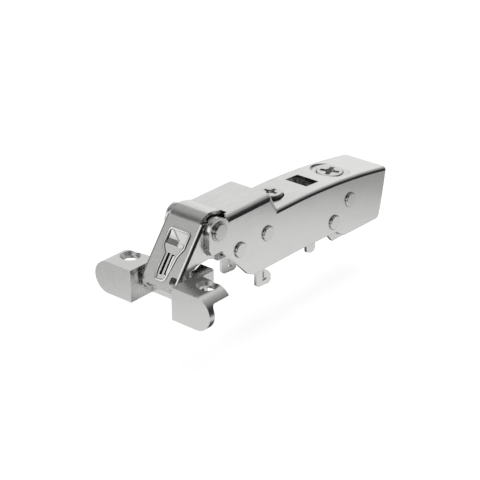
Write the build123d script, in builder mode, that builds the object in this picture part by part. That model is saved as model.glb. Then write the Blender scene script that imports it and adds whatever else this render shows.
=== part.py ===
# Clip-on furniture hinge with a two-lug door bracket, held open.
# X runs back along the arm, Y to the far side, Z up. Millimetres.
# The origin lies midway between the two door screw holes, on top of the lugs.
from build123d import *
import math
import os

os.makedirs("parts", exist_ok=True)

# Arm casing, a folded steel channel open below
arm_half = 8.1
wall = 1.1
arm_inside = arm_half - wall
hat_top = 12.95
hat_front = 16.2
hat_plate_front = 17.4
hat_rear = 34.6
top_level = 7.2
top_start = 38.1
rear_x = 90.4
rear_top = 3.0
hat_bend = 2.0
top_bend = 1.2

# Pivots as x and z
arm_pivot = (11.9, 9.7)
inner_pivot = (19.5, 5.0)
bracket_pivot = (-0.986, -4.762)
guide_start = (3.203, -4.70)
guide_path = ((3.203, -4.70), (2.41, -4.03), (2.06, -3.79), (2.08, -3.64), (2.33, -2.97), (2.42, -2.38))
yoke_radius = 5.0
yoke_rest_angle = 248.15

# Pins and running clearances
arm_pin_r = 1.5
inner_pin_r = 1.2
bracket_pin_r = 1.1
guide_pin_r = 0.8
yoke_pin_r = 0.8
run = 0.05
slot_run = 0.09

# Outer link, a folded steel cover
link_play = 0.45
link_half = arm_inside - link_play
link_sheet = 1.0
link_flange_in = link_half - link_sheet
link_face = 5.6
link_length = 19.9
link_tilt = 37.28
link_corner = 2.7
scoop_depth = 1.15
scoop_far = 3.0
scoop_near = -3.7
curl_half = link_half - 1.1
curl_low = 0.5
curl_front = 0.2
curl_turn = 76.5
curl_tail = 3.1
eye_r = 3.7

# Inner link, cage, fork and damper inside the arm
sleeve_length = 1.6
cage_sheet = 1.0
cage_half = arm_inside - sleeve_length
cage_in = cage_half - cage_sheet
cage_floor = -2.9
cage_roof = 5.85
cheek_out = cage_in - 0.3
cheek_thick = 1.3
cheek_in = cheek_out - cheek_thick
inner_half = cheek_in - 0.2
sleeve_r = 2.3
rod_level = 0.18
rod_r = 1.0
piston_r = 2.3

# Clip rail
rail_play = 0.1
rail_sheet = 0.9
rail_half = arm_inside - rail_play
rail_in = rail_half - rail_sheet
rail_web_top = -3.3
rail_web_low = -4.3
slide_travel = 1.5

# Rivets as x and z
rivet_front = (20.7, 0.9)
rivet_middle = (32.7, 1.55)
rivet_low = (64.2, -6.4)
rivet_r = 1.5
rivet_head_r = 2.25
head_height = 0.6

# Adjusting screws
side_x = 43.9
side_head_r = 3.5
side_hole_r = 4.0
side_head_top = 8.3
side_head_low = cage_roof + 0.1
side_thread_r = 1.9
side_neck_r = 1.0
side_foot_r = 2.2
damper_front = side_x - 15.4
damper_rear = side_x - 2.7
depth_x = 72.3
rivet_high = (depth_x - 0.4, -1.6)
depth_head_r = 4.05
depth_head_top = 5.4
dish_floor = 5.05
depth_shaft_r = 2.4
cam_r = 1.5
cam_offset = 1.6
bridge_top = 3.2
bridge_low = 2.0
bridge_reach = 5.7
bridge_out = arm_inside
bridge_in = bridge_out - 1.0

# Door bracket
lug_height = 9.66
lug_round = lug_height / 2
lug_inner = link_half + 0.95
lug_wall_out = lug_inner + 2.0
lug_round_y = 16.1
lug_front = -6.9
plate_thick = 2.0
flange_thick = 1.8
lug_rear = 3.3
screw_y = 14.0
screw_hole_r = 2.1
screw_sink_r = 2.95
prong_in = 4.3
prong_out = 8.9
prong_rear = 8.5
prong_thick = 3.3
bar_front = 1.6
bar_top = -7.8

# Release lever
lever_pivot = (68.0, -10.9)
lever_pin_r = 1.1
lever_out = rail_in - 0.3
lever_in = lever_out - 1.0
lever_top = -8.0

tilt = math.radians(link_tilt)


def on_link(u, n):
    """A point u down the outer link from the arm pivot and n in front of it, as x and z."""
    x = arm_pivot[0] - u * math.sin(tilt) - n * math.cos(tilt)
    z = arm_pivot[1] - u * math.cos(tilt) + n * math.sin(tilt)
    return (x, z)


reach_x = inner_pivot[0] - guide_start[0]
reach_z = inner_pivot[1] - guide_start[1]
reach = math.hypot(reach_x, reach_z)


def on_inner(s, m):
    """A point s along the inner link from its guide pin and m above its line, as x and z."""
    x = guide_start[0] + (s * reach_x - m * reach_z) / reach
    z = guide_start[1] + (s * reach_z + m * reach_x) / reach
    return (x, z)


yoke = (
    inner_pivot[0] + yoke_radius * math.cos(math.radians(yoke_rest_angle)),
    inner_pivot[1] + yoke_radius * math.sin(math.radians(yoke_rest_angle)),
)


def pin_along_y(centre, radius, y_from, y_to):
    """A round solid along Y, made apart from any open block."""
    length = y_to - y_from
    place = Location((centre[0], (y_from + y_to) / 2, centre[1]), (90, 0, 0))
    return place * Solid.make_cylinder(radius, length, Plane((0, 0, -length / 2)))


def headed_rivet(centre, shank_from, shank_to, side):
    """One riveted end: a shank and a low round head outside the casing wall."""
    shank_low = min(side * shank_from, side * shank_to)
    shank_high = max(side * shank_from, side * shank_to)
    shank = pin_along_y(centre, rivet_r, shank_low, shank_high)
    low = min(side * arm_half, side * (arm_half + head_height))
    high = max(side * arm_half, side * (arm_half + head_height))
    head = pin_along_y(centre, rivet_head_r, low, high)
    rim = head.edges().filter_by(GeomType.CIRCLE).sort_by(Axis.Y)
    head = head.fillet(0.3, [rim[-1] if side > 0 else rim[0]])
    return shank + head


# Arm casing
with BuildPart() as arm_casing:
    with BuildSketch(Plane.XZ) as side_view:
        with BuildLine():
            a = Line((9.0, 3.3), (7.8, 5.4))
            b = Line(a @ 1, (7.8, arm_pivot[1]))
            c = ThreePointArc(b @ 1, (arm_pivot[0] - 2.9, arm_pivot[1] + 2.9), (arm_pivot[0], arm_pivot[1] + 4.1))
            d = Line(c @ 1, (14.9, 12.5))
            e = Polyline(d @ 1, (hat_front, hat_top - hat_bend - 0.3), (hat_front, hat_top))
            f = Line(e @ 1, (hat_rear, hat_top))
            g = Line(f @ 1, (top_start, top_level))
            h = Line(g @ 1, (46.0, top_level))
            i = Spline(
                h @ 1, (58.0, top_level - 0.4), (72.4, top_level - 1.6), (rear_x, rear_top),
                tangents=[(1, 0), (0.985, -0.17)],
            )
            j = Line(i @ 1, (88.85, -6.0))
            k = Line(j @ 1, (87.4, -12.3))
            m = Line(k @ 1, (86.4, -13.0))
            n = Line(m @ 1, (69.5, -12.6))
            o = Line(n @ 1, (65.5, -10.0))
            p = Line(o @ 1, (48.0, -9.3))
            q = Line(p @ 1, (26.6, -9.1))
            r = Line(q @ 1, (24.2, -8.0))
            s = Line(r @ 1, (13.0, 3.4))
            t = Line(s @ 1, a @ 0)
        make_face()
        fillet(side_view.vertices().sort_by_distance((hat_rear, hat_top))[0], 1.2)
        fillet(side_view.vertices().sort_by_distance((24.2, -8.0))[0], 0.8)
        fillet(side_view.vertices().sort_by_distance((26.6, -9.1))[0], 1.2)
        fillet(side_view.vertices().sort_by_distance((13.0, 3.4))[0], 0.6)
        fillet(side_view.vertices().sort_by_distance((87.4, -12.3))[0], 0.5)
        fillet(side_view.vertices().sort_by_distance((86.4, -13.0))[0], 0.5)
    extrude(amount=arm_half, both=True)
    long_edges = (
        arm_casing.edges()
        .filter_by(lambda edge: abs(abs(edge.center().Y) - arm_half) < 0.01)
        .filter_by(lambda edge: edge.center().Z > 2.5 and edge.center().X > hat_front + 0.4)
        .filter_by(lambda edge: edge.center().X < rear_x - 0.3)
    )
    fillet(long_edges.filter_by(lambda edge: edge.center().X < top_start - 0.5), hat_bend)
    top_edges = (
        arm_casing.edges()
        .filter_by(lambda edge: abs(abs(edge.center().Y) - arm_half) < 0.01)
        .filter_by(lambda edge: edge.center().Z > 2.5 and edge.center().X > top_start + 1)
        .filter_by(lambda edge: edge.center().X < rear_x - 0.3)
    )
    fillet(top_edges, top_bend)
    with BuildSketch(Plane.XZ) as hollow:
        with BuildLine():
            Polyline(
                (0, 20), (0, -20), (100, -20), (100, rear_top - wall - 1.6), (rear_x, rear_top - wall),
            )
            Spline(
                (rear_x, rear_top - wall), (72.4, top_level - 1.6 - wall), (58.0, top_level - 0.4 - wall),
                (46.0, top_level - wall),
                tangents=[(-0.985, 0.17), (-1, 0)],
            )
            Polyline(
                (46.0, top_level - wall), (top_start - 0.8, top_level - wall),
                (hat_rear - 0.9, hat_top - wall), (hat_front - 0.01, hat_top - wall),
                (hat_front - 0.01, 20), (0, 20),
            )
        make_face()
    extrude(amount=arm_inside, both=True, mode=Mode.SUBTRACT)
    # The top plate starts further back than its bent edges
    with BuildSketch(Plane.XY.offset(hat_top - wall - 1)):
        with Locations((hat_front, 0)):
            Rectangle(2 * (hat_plate_front - hat_front), 2 * 6.2)
    extrude(amount=4, mode=Mode.SUBTRACT)
    # Rivet and pivot holes through both walls
    with BuildSketch(Plane.XZ) as wall_holes:
        with Locations(rivet_front, rivet_middle, rivet_low, rivet_high):
            Circle(rivet_r)
        with Locations(arm_pivot):
            Circle(arm_pin_r)
    extrude(amount=arm_half + 1, both=True, mode=Mode.SUBTRACT)
    # Openings in the top
    with BuildSketch(Plane.XY.offset(4.0)) as top_openings:
        with Locations((58.7, 0)):
            Rectangle(5.9, 7.9)
        with Locations((side_x, 0)):
            Circle(side_hole_r)
    extrude(amount=6, mode=Mode.SUBTRACT)
    with BuildSketch(Plane.XY.offset(0.5)) as depth_opening:
        with Locations((depth_x, 0)):
            Circle(depth_head_r + 0.15)
    extrude(amount=8, mode=Mode.SUBTRACT)
    with BuildSketch(Plane.XY.offset(dish_floor)) as dish:
        with Locations((depth_x + 0.4, 0)):
            Ellipse(5.6, 6.1)
    extrude(amount=4, taper=-20, mode=Mode.SUBTRACT)

arm_casing.part.label = "arm_casing"
export_step(arm_casing.part, "parts/arm_casing.step")

# Clip rail that drops onto the mounting plate
with BuildPart() as clip_rail:
    with BuildSketch(Plane.XZ) as rail_side:
        with BuildLine():
            Polyline(
                (29.3, rail_web_top), (86.0, rail_web_top), (86.0, -12.9), (85.2, -13.2), (65.2, -13.3),
                (61.2, -8.9), (56.7, -8.9), (56.7, -12.2), (55.9, -13.1), (54.4, -13.2), (52.7, -12.4),
                (52.3, -8.9), (33.0, -8.9), (33.0, -10.4), (34.5, -11.2), (35.7, -12.6), (35.7, -14.7),
                (34.8, -15.3), (30.3, -14.9), (29.3, -14.1), (29.3, rail_web_top),
            )
        make_face()
    extrude(amount=rail_half, both=True)
    with BuildSketch(Plane.YZ.offset(20)) as rail_bore:
        with Locations((0, -15)):
            Rectangle(2 * rail_in, 2 * (15 + rail_web_low))
    extrude(amount=80, mode=Mode.SUBTRACT)
    web_edges = (
        clip_rail.edges()
        .filter_by(Axis.X)
        .filter_by(lambda edge: abs(edge.center().Z - rail_web_top) < 0.01)
        .filter_by(lambda edge: abs(abs(edge.center().Y) - rail_half) < 0.01)
    )
    fillet(web_edges, 0.9)
    # Long slots that the low rivet slides in
    with BuildSketch(Plane.XZ) as rivet_slots:
        with Locations(rivet_low):
            SlotCenterToCenter(2 * slide_travel + 0.2, 2 * (rivet_r + run))
    extrude(amount=rail_half + 1, both=True, mode=Mode.SUBTRACT)
    # Slots in the web for the side screw's neck and the depth screw's cam
    with BuildSketch(Plane.XY.offset(rail_web_low - 1)) as web_slots:
        with Locations((side_x, 0)):
            SlotCenterToCenter(2 * slide_travel + 2.2, 2 * (side_neck_r + 0.3))
        with Locations((depth_x, 0.8)):
            Rectangle(2 * (cam_r + slot_run), 7.2)
    extrude(amount=3, mode=Mode.SUBTRACT)
    # Narrow folded catch in each hook
    with BuildSketch(Plane.XZ) as hook_slits:
        with Locations((32.4, -12.2)):
            Rectangle(0.7, 2.8)
        with Locations((32.9, -13.4)):
            Rectangle(1.7, 0.6)
    extrude(amount=rail_half + 1, both=True, mode=Mode.SUBTRACT)
    # Holes for the lever pin
    with BuildSketch(Plane.XZ) as lever_holes:
        with Locations(lever_pivot):
            Circle(lever_pin_r)
    extrude(amount=rail_half + 1, both=True, mode=Mode.SUBTRACT)
    # Open web between the two screws, where the mounting plate stands up
    with BuildSketch(Plane.XY.offset(rail_web_low - 1)) as web_window:
        with Locations((57.5, 0)):
            RectangleRounded(9.0, 6.4, 1.2)
    extrude(amount=3, mode=Mode.SUBTRACT)

clip_rail.part.label = "clip_rail"
export_step(clip_rail.part, "parts/clip_rail.step")

# Cage riveted inside the casing
with BuildPart() as mechanism_cage:
    with BuildSketch(Plane.XZ) as cage_side:
        with BuildLine():
            Polyline(
                (17.7, 5.0), (18.0, 0.4), (19.8, -1.2), (24.0, cage_floor), (47.6, cage_floor),
                (47.6, cage_roof), (20.2, cage_roof), (18.6, 6.7), (17.7, 5.0),
            )
        make_face()
    extrude(amount=cage_half, both=True)
    with BuildSketch(Plane.YZ.offset(10)) as cage_bore:
        with Locations((0, 0)):
            Rectangle(2 * cage_in, 2 * (cage_roof - 1.0))
    extrude(amount=50, mode=Mode.SUBTRACT)
    with BuildSketch(Plane.XY.offset(2.0)) as cage_front_opening:
        with Locations((22.8, 0)):
            Rectangle(14.4, 2 * cage_in)
    extrude(amount=8, mode=Mode.SUBTRACT)
    with BuildSketch(Plane.XZ) as cage_holes:
        with Locations(rivet_front, rivet_middle):
            Circle(rivet_r)
        with Locations(inner_pivot):
            Circle(inner_pin_r)
    extrude(amount=cage_half + 1, both=True, mode=Mode.SUBTRACT)
    with BuildSketch(Plane.XY.offset(4.0)) as thread_hole:
        with Locations((side_x, 0)):
            Circle(side_thread_r + run)
    extrude(amount=4, mode=Mode.SUBTRACT)

mechanism_cage.part.label = "mechanism_cage"
export_step(mechanism_cage.part, "parts/mechanism_cage.step")

# Outer link
face_plane = Plane(
    origin=(on_link(0, link_face)[0], 0, on_link(0, link_face)[1]),
    x_dir=(-math.sin(tilt), 0, -math.cos(tilt)),
    z_dir=(-math.cos(tilt), 0, math.sin(tilt)),
)
curl_centre = on_link(curl_low, curl_front)
turn_x = math.cos(math.radians(curl_turn))
turn_z = math.sin(math.radians(curl_turn))

with BuildPart() as outer_link:
    with BuildSketch(face_plane) as face_outline:
        with Locations(((link_length + curl_low) / 2, 0)):
            Rectangle(link_length - curl_low, 2 * link_half)
        fillet(face_outline.vertices().group_by(Axis.X)[-1], link_corner)
    extrude(amount=-link_sheet)
    with BuildSketch(Plane.XZ.offset(link_flange_in)) as near_flange:
        with BuildLine():
            Polyline(
                on_link(curl_low, link_face), on_link(link_length - link_corner, link_face),
                on_link(19.2, 4.3), on_link(20.6, 3.0), on_link(17.6, 0.7),
                on_link(13.2, 3.0), on_link(10.3, 0.36), on_link(6.7, -4.0), on_link(0, -eye_r),
                on_link(-eye_r, 0), on_link(curl_low, link_face),
            )
        make_face()
        with Locations(arm_pivot):
            Circle(eye_r)
        with Locations(bracket_pivot):
            Circle(1.9)
    extrude(amount=link_sheet)
    with BuildSketch(Plane.XZ.offset(-link_half)) as far_flange:
        add(near_flange.sketch.moved(Location((0, link_flange_in + link_half, 0))))
    extrude(amount=link_sheet)
    # Round the two long folds
    fold_edges = (
        outer_link.edges()
        .filter_by(lambda edge: edge.geom_type == GeomType.LINE and edge.length > 12)
        .filter_by(lambda edge: abs(abs(edge.center().Y) - link_half) < 0.01)
        .sort_by(Axis((0, 0, 0), (-math.cos(tilt), 0, math.sin(tilt))))
    )
    fillet(fold_edges[-2:], 0.95)
    # Curl over the nose of the arm
    with BuildSketch(Plane.XZ) as curl_ring:
        with Locations(curl_centre):
            Circle(link_face - curl_front)
            Circle(link_face - curl_front - link_sheet, mode=Mode.SUBTRACT)
        with BuildLine():
            Polyline(
                curl_centre, on_link(curl_low + 0.05, 12), (curl_centre[0] - 8, curl_centre[1] + 14),
                (curl_centre[0] + 14 * turn_x, curl_centre[1] + 14 * turn_z), curl_centre,
            )
        make_face(mode=Mode.INTERSECT)
    extrude(amount=curl_half, both=True)
    # The curl runs out straight over the front edge of the arm's top plate
    curl_outer = link_face - curl_front
    curl_inner = curl_outer - link_sheet
    with BuildSketch(Plane.XZ) as curl_end:
        with BuildLine():
            Polyline(
                (curl_centre[0] + curl_outer * turn_x, curl_centre[1] + curl_outer * turn_z),
                (curl_centre[0] + curl_outer * turn_x + curl_tail * turn_z,
                 curl_centre[1] + curl_outer * turn_z - curl_tail * turn_x),
                (curl_centre[0] + curl_inner * turn_x + curl_tail * turn_z,
                 curl_centre[1] + curl_inner * turn_z - curl_tail * turn_x),
                (curl_centre[0] + curl_inner * turn_x, curl_centre[1] + curl_inner * turn_z),
                (curl_centre[0] + curl_outer * turn_x, curl_centre[1] + curl_outer * turn_z),
            )
        make_face()
    extrude(amount=curl_half, both=True)
    # Raised rim and pocket on the face
    keyhole_points = (
        (3.45, 2.9), (3.45, -3.4), (4.3, -4.15), (8.3, -4.15), (10.9, -2.9), (17.6, -2.1), (18.4, -1.3),
        (18.5, 1.0), (18.1, 1.6), (15.7, 2.0), (10.9, 1.9), (9.2, 3.4), (4.3, 3.5), (3.45, 2.9),
    )
    with BuildSketch(face_plane.offset(-0.3)) as rim:
        with BuildLine():
            Polyline(*[(u, -y) for u, y in keyhole_points])
        make_face()
    extrude(amount=0.6)
    with BuildSketch(face_plane.offset(-0.4)) as pocket:
        with BuildLine():
            Polyline(*[(u, -y) for u, y in keyhole_points])
        make_face()
        offset(amount=-0.5, mode=Mode.REPLACE)
    extrude(amount=1.2, mode=Mode.SUBTRACT)
    # Scoop pressed into the head of the keyhole, with its swelling behind
    with BuildSketch(Plane.XZ.offset(-scoop_far)) as swelling:
        with BuildLine():
            Polyline(
                on_link(3.2, link_face - 0.9), on_link(3.2, link_face - 2.0), on_link(4.2, link_face - 2.1),
                on_link(8.9, link_face - 1.1), on_link(8.9, link_face - 0.9), on_link(3.2, link_face - 0.9),
            )
        make_face()
    extrude(amount=scoop_far - scoop_near)
    with BuildSketch(Plane.XZ.offset(-scoop_far + 0.7)) as scoop:
        with BuildLine():
            Polyline(
                on_link(3.95, link_face + 0.1), on_link(3.95, link_face - scoop_depth),
                on_link(8.5, link_face - 0.4), on_link(8.5, link_face + 0.1), on_link(3.95, link_face + 0.1),
            )
        make_face()
    extrude(amount=scoop_far - scoop_near - 1.4, mode=Mode.SUBTRACT)
    # Two long slits and the corner window go right through
    with BuildSketch(face_plane) as slits:
        with Locations((13.6, -0.35)):
            Rectangle(6.2, 0.85)
        with Locations((13.5, 1.2)):
            Rectangle(5.8, 0.95)
    extrude(amount=-1.4, mode=Mode.SUBTRACT)
    with BuildSketch(face_plane) as corner_window:
        with Locations((17.3, 4.6)):
            RectangleRounded(2.1, 2.1, 0.5)
    extrude(amount=-1.4, mode=Mode.SUBTRACT)
    with BuildSketch(Plane.XZ) as link_bores:
        with Locations(arm_pivot):
            Circle(arm_pin_r + run)
        with Locations(bracket_pivot):
            Circle(bracket_pin_r + run)
    extrude(amount=link_half + 1, both=True, mode=Mode.SUBTRACT)

outer_link.part.label = "outer_link"
export_step(outer_link.part, "parts/outer_link.step")

# Inner link with its short yoke arm
with BuildPart() as inner_link:
    with BuildSketch(Plane.XZ) as inner_side:
        with BuildLine():
            lower = ThreePointArc(on_inner(0.2, -1.75), on_inner(9.0, 0.2), on_inner(reach, -2.1))
            Line(lower @ 1, on_inner(reach, 2.1))
            upper = ThreePointArc(on_inner(reach, 2.1), on_inner(10.5, 3.0), on_inner(4.6, 1.35))
            Line(upper @ 1, on_inner(0.2, 1.35))
            Line(on_inner(0.2, 1.35), lower @ 0)
        make_face()
        with Locations(guide_start):
            Circle(1.75)
        with Locations(inner_pivot):
            Circle(2.1)
        with BuildLine():
            Polyline(
                (inner_pivot[0] - 1.9, inner_pivot[1] - 0.6), (yoke[0] - 1.5, yoke[1] + 0.3),
                (yoke[0] + 1.5, yoke[1] - 0.3), (inner_pivot[0] + 1.7, inner_pivot[1] - 1.1),
                (inner_pivot[0] - 1.9, inner_pivot[1] - 0.6),
            )
        make_face()
        with Locations(yoke):
            Circle(1.5)
    extrude(amount=inner_half, both=True)
    with BuildSketch(Plane.XZ) as inner_bores:
        with Locations(inner_pivot):
            Circle(inner_pin_r + run)
        with Locations(guide_start):
            Circle(guide_pin_r)
        with Locations(yoke):
            Circle(yoke_pin_r)
    extrude(amount=inner_half + 1, both=True, mode=Mode.SUBTRACT)

inner_link.part.label = "inner_link"
export_step(inner_link.part, "parts/inner_link.step")

# Door bracket, one casting with two lugs
with BuildPart() as door_bracket:
    for side in (-1, 1):
        with BuildSketch(Plane.YZ.offset(lug_front)) as lug_outline:
            with Locations((side * (lug_inner + lug_round_y) / 2, -lug_round)):
                Rectangle(lug_round_y - lug_inner, lug_height)
            with Locations((side * lug_round_y, -lug_round)):
                Circle(lug_round)
        extrude(amount=plate_thick)
        with BuildSketch(Plane.YZ.offset(lug_front)) as flange_outline:
            with Locations((side * (lug_inner + lug_round_y) / 2, -lug_round)):
                Rectangle(lug_round_y - lug_inner, lug_height)
            with Locations((side * lug_round_y, -lug_round)):
                Circle(lug_round)
            with Locations((side * 14, -flange_thick - 10)):
                Rectangle(30, 20, mode=Mode.SUBTRACT)
        extrude(amount=lug_rear - lug_front)
        # Inner wall of the lug, with the cheek that guides the inner link
        wall_near = min(-side * lug_inner, -side * lug_wall_out)
        with BuildSketch(Plane.XZ.offset(wall_near)) as lug_wall:
            with BuildLine():
                Polyline(
                    (lug_front, 0), (prong_rear - 0.6, 0), (prong_rear - 0.6, -prong_thick), (5.4, -4.6),
                    (5.4, -6.4), (lug_rear, -lug_height), (lug_front, -lug_height), (lug_front, 0),
                )
            make_face()
        extrude(amount=lug_wall_out - lug_inner)
        # Prong behind the lug
        with BuildSketch(Plane.XY.offset(-prong_thick)) as prong:
            with BuildLine():
                Polyline(
                    (3.4, side * 5.4), (4.9, side * 5.5), (prong_rear, side * prong_in),
                    (prong_rear, side * prong_out), (2.6, side * prong_out), (2.6, side * 7.5),
                    (3.4, side * 5.4),
                )
            make_face()
        extrude(amount=prong_thick)
    with BuildSketch(Plane.XZ) as cross_bar:
        with BuildLine():
            Polyline(
                (bar_front, -lug_height), (lug_rear, -lug_height), (lug_rear, bar_top), (bar_front, bar_top),
                (bar_front, -lug_height),
            )
        make_face()
    extrude(amount=lug_inner + 0.5, both=True)
    # Fillets under the two flanges
    under = (
        door_bracket.edges()
        .filter_by(Axis.Y)
        .filter_by(lambda edge: abs(edge.center().Z + flange_thick) < 0.05)
        .filter_by(lambda edge: abs(edge.center().X - lug_front - plate_thick) < 0.05)
    )
    fillet(under, 1.2)
    # The rear edges of the lugs run slightly forward toward their ends
    for side in (-1, 1):
        with BuildSketch(Plane.XY.offset(-flange_thick - 1)) as taper_cut:
            with BuildLine():
                Polyline(
                    (lug_rear + 0.1, side * 9.05), (lug_rear - 1.4, side * 21.5), (lug_rear + 3, side * 21.5),
                    (lug_rear + 0.1, side * 9.05),
                )
            make_face()
        extrude(amount=flange_thick + 2, mode=Mode.SUBTRACT)
    # Screw holes with countersinks
    with Locations((0, screw_y, 0), (0, -screw_y, 0)):
        CounterSinkHole(radius=screw_hole_r, counter_sink_radius=screw_sink_r, depth=6)
    # Bores for the link pin
    with BuildSketch(Plane.XZ) as bracket_bores:
        with Locations(bracket_pivot):
            Circle(bracket_pin_r)
    extrude(amount=lug_wall_out + 1, both=True, mode=Mode.SUBTRACT)
    # Windows that the guide pin runs in
    with BuildSketch(Plane.XZ) as guide_window:
        with Locations(*guide_path):
            Circle(guide_pin_r + slot_run)
        make_hull()
    extrude(amount=lug_wall_out + 1, both=True, mode=Mode.SUBTRACT)

door_bracket.part.label = "door_bracket"
export_step(door_bracket.part, "parts/door_bracket.step")

# Pivot of the outer link on the arm, with its washers
arm_pivot_pin = pin_along_y(arm_pivot, arm_pin_r, -arm_half - 0.4, arm_half + 0.4)
for side in (-1, 1):
    low = min(side * (arm_half + 0.4), side * (arm_half + 1.0))
    high = max(side * (arm_half + 0.4), side * (arm_half + 1.0))
    arm_pivot_pin = arm_pivot_pin + pin_along_y(arm_pivot, 2.25, low, high)
arm_pivot_pin = Part(arm_pivot_pin.wrapped)
arm_pivot_pin.label = "arm_pivot_pin"
export_step(arm_pivot_pin, "parts/arm_pivot_pin.step")

with BuildPart() as pivot_washers:
    with BuildSketch(Plane.XZ.offset(arm_half)) as near_ring:
        with Locations(arm_pivot):
            Circle(2.75)
            Circle(arm_pin_r, mode=Mode.SUBTRACT)
    extrude(amount=0.4)
    with BuildSketch(Plane.XZ.offset(-arm_half - 0.4)) as far_ring:
        with Locations(arm_pivot):
            Circle(2.75)
            Circle(arm_pin_r, mode=Mode.SUBTRACT)
    extrude(amount=0.4)

pivot_washers.part.label = "pivot_washers"
export_step(pivot_washers.part, "parts/pivot_washers.step")

# Pin of the inner link in the cage
inner_pivot_pin = Part(pin_along_y(inner_pivot, inner_pin_r, -cage_half, cage_half).wrapped)
inner_pivot_pin.label = "inner_pivot_pin"
export_step(inner_pivot_pin, "parts/inner_pivot_pin.step")

# Spacers that centre the inner link between the cage plates
with BuildPart() as inner_spacers:
    for start in (-cage_in, inner_half + 0.08):
        with BuildSketch(Plane.XZ.offset(start)) as spacer_ring:
            with Locations(inner_pivot):
                Circle(1.9)
                Circle(inner_pin_r, mode=Mode.SUBTRACT)
        extrude(amount=cage_in - inner_half - 0.08)

inner_spacers.part.label = "inner_spacers"
export_step(inner_spacers.part, "parts/inner_spacers.step")

# Pins at the door end
link_pin = Part(pin_along_y(bracket_pivot, bracket_pin_r, -lug_wall_out, lug_wall_out).wrapped)
link_pin.label = "link_pin"
export_step(link_pin, "parts/link_pin.step")

guide_pin = Part(pin_along_y(guide_start, guide_pin_r, -lug_inner - 1.2, lug_inner + 1.2).wrapped)
guide_pin.label = "guide_pin"
export_step(guide_pin, "parts/guide_pin.step")

# Yoke pin in the inner link's short arm
yoke_pin = Part(pin_along_y(yoke, yoke_pin_r, -cheek_out, cheek_out).wrapped)
yoke_pin.label = "yoke_pin"
export_step(yoke_pin, "parts/yoke_pin.step")

# Fork, rod and piston of the damper
with BuildPart() as damper_fork:
    for side in (-1, 1):
        cheek_near = min(-side * cheek_in, -side * cheek_out)
        with BuildSketch(Plane.XZ.offset(cheek_near)) as cheek:
            with BuildLine():
                Polyline(
                    (yoke[0] - 1.8, -1.9), (24.4, -1.9), (24.4, 2.2), (yoke[0] - 1.3, 2.2),
                    (yoke[0] - 1.8, 1.7), (yoke[0] - 1.8, -1.9),
                )
            make_face()
            with Locations((yoke[0], 0.18)):
                SlotCenterToCenter(0.75, 2 * (yoke_pin_r + slot_run), rotation=90, mode=Mode.SUBTRACT)
        extrude(amount=cheek_out - cheek_in)
    with BuildSketch(Plane.YZ.offset(22.4)) as block:
        with Locations((0, 0.15)):
            Rectangle(2 * cheek_out, 4.1)
    extrude(amount=2.0)
    with BuildSketch(Plane.YZ.offset(24.4)) as rod:
        with Locations((0, rod_level)):
            Circle(rod_r)
    extrude(amount=7.2)
    with BuildSketch(Plane.YZ.offset(31.5)) as piston:
        with Locations((0, rod_level)):
            Circle(piston_r)
    extrude(amount=1.5)

damper_fork.part.label = "damper_fork"
export_step(damper_fork.part, "parts/damper_fork.step")

with BuildPart() as damper_housing:
    with BuildSketch(Plane.YZ.offset(damper_front)) as housing_section:
        with Locations((0, 0.15)):
            Rectangle(2 * cage_in, 6.1)
        fillet(housing_section.vertices(), 0.8)
    extrude(amount=damper_rear - damper_front)
    with BuildSketch(Plane.YZ.offset(damper_front - 1)) as rod_bore:
        with Locations((0, rod_level)):
            Circle(rod_r + run)
    extrude(amount=4, mode=Mode.SUBTRACT)
    with BuildSketch(Plane.YZ.offset(damper_front + 1.7)) as piston_bore:
        with Locations((0, rod_level)):
            Circle(piston_r + run)
    extrude(amount=9.3, mode=Mode.SUBTRACT)

damper_housing.part.label = "damper_housing"
export_step(damper_housing.part, "parts/damper_housing.step")

# Closing spring wound round the arm pivot
coil_turns = 5
coil_pitch = 0.95
coil_r = 2.1
wire_r = 0.4
coil_path = Helix(pitch=coil_pitch, height=coil_turns * coil_pitch, radius=coil_r)
coil_section = Plane(origin=coil_path @ 0, z_dir=coil_path % 0) * Circle(wire_r)
coil = sweep(coil_section, path=coil_path, is_frenet=True)
coil = Location((arm_pivot[0], coil_turns * coil_pitch / 2, arm_pivot[1]), (90, 0, 0)) * coil
closing_spring = Part(coil.wrapped) if not isinstance(coil, Part) else coil
closing_spring.label = "closing_spring"
export_step(closing_spring, "parts/closing_spring.step")

# Rivets of the casing
front_rivets = None
for side in (-1, 1):
    for place in (rivet_front, rivet_middle):
        one = headed_rivet(place, cage_in, arm_half, side)
        front_rivets = one if front_rivets is None else front_rivets + one
front_rivets = Part(front_rivets.wrapped)
front_rivets.label = "front_rivets"
export_step(front_rivets, "parts/front_rivets.step")

near_bridge_rivet = headed_rivet(rivet_high, bridge_in, arm_half, -1)
far_bridge_rivet = headed_rivet(rivet_high, bridge_in, arm_half, 1)
bridge_rivets = Part((near_bridge_rivet + far_bridge_rivet).wrapped)
bridge_rivets.label = "bridge_rivets"
export_step(bridge_rivets, "parts/bridge_rivets.step")

rail_rivet = headed_rivet(rivet_low, 0, arm_half, -1) + headed_rivet(rivet_low, 0, arm_half, 1)
rail_rivet = Part(rail_rivet.wrapped)
rail_rivet.label = "rail_rivet"
export_step(rail_rivet, "parts/rail_rivet.step")

# Sleeves between the casing walls and the cage
with BuildPart() as cage_sleeves:
    for start in (-arm_inside, cage_half):
        with BuildSketch(Plane.XZ.offset(start)) as sleeve_rings:
            with Locations(rivet_front, rivet_middle):
                Circle(sleeve_r)
                Circle(rivet_r, mode=Mode.SUBTRACT)
        extrude(amount=sleeve_length)

cage_sleeves.part.label = "cage_sleeves"
export_step(cage_sleeves.part, "parts/cage_sleeves.step")

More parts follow.
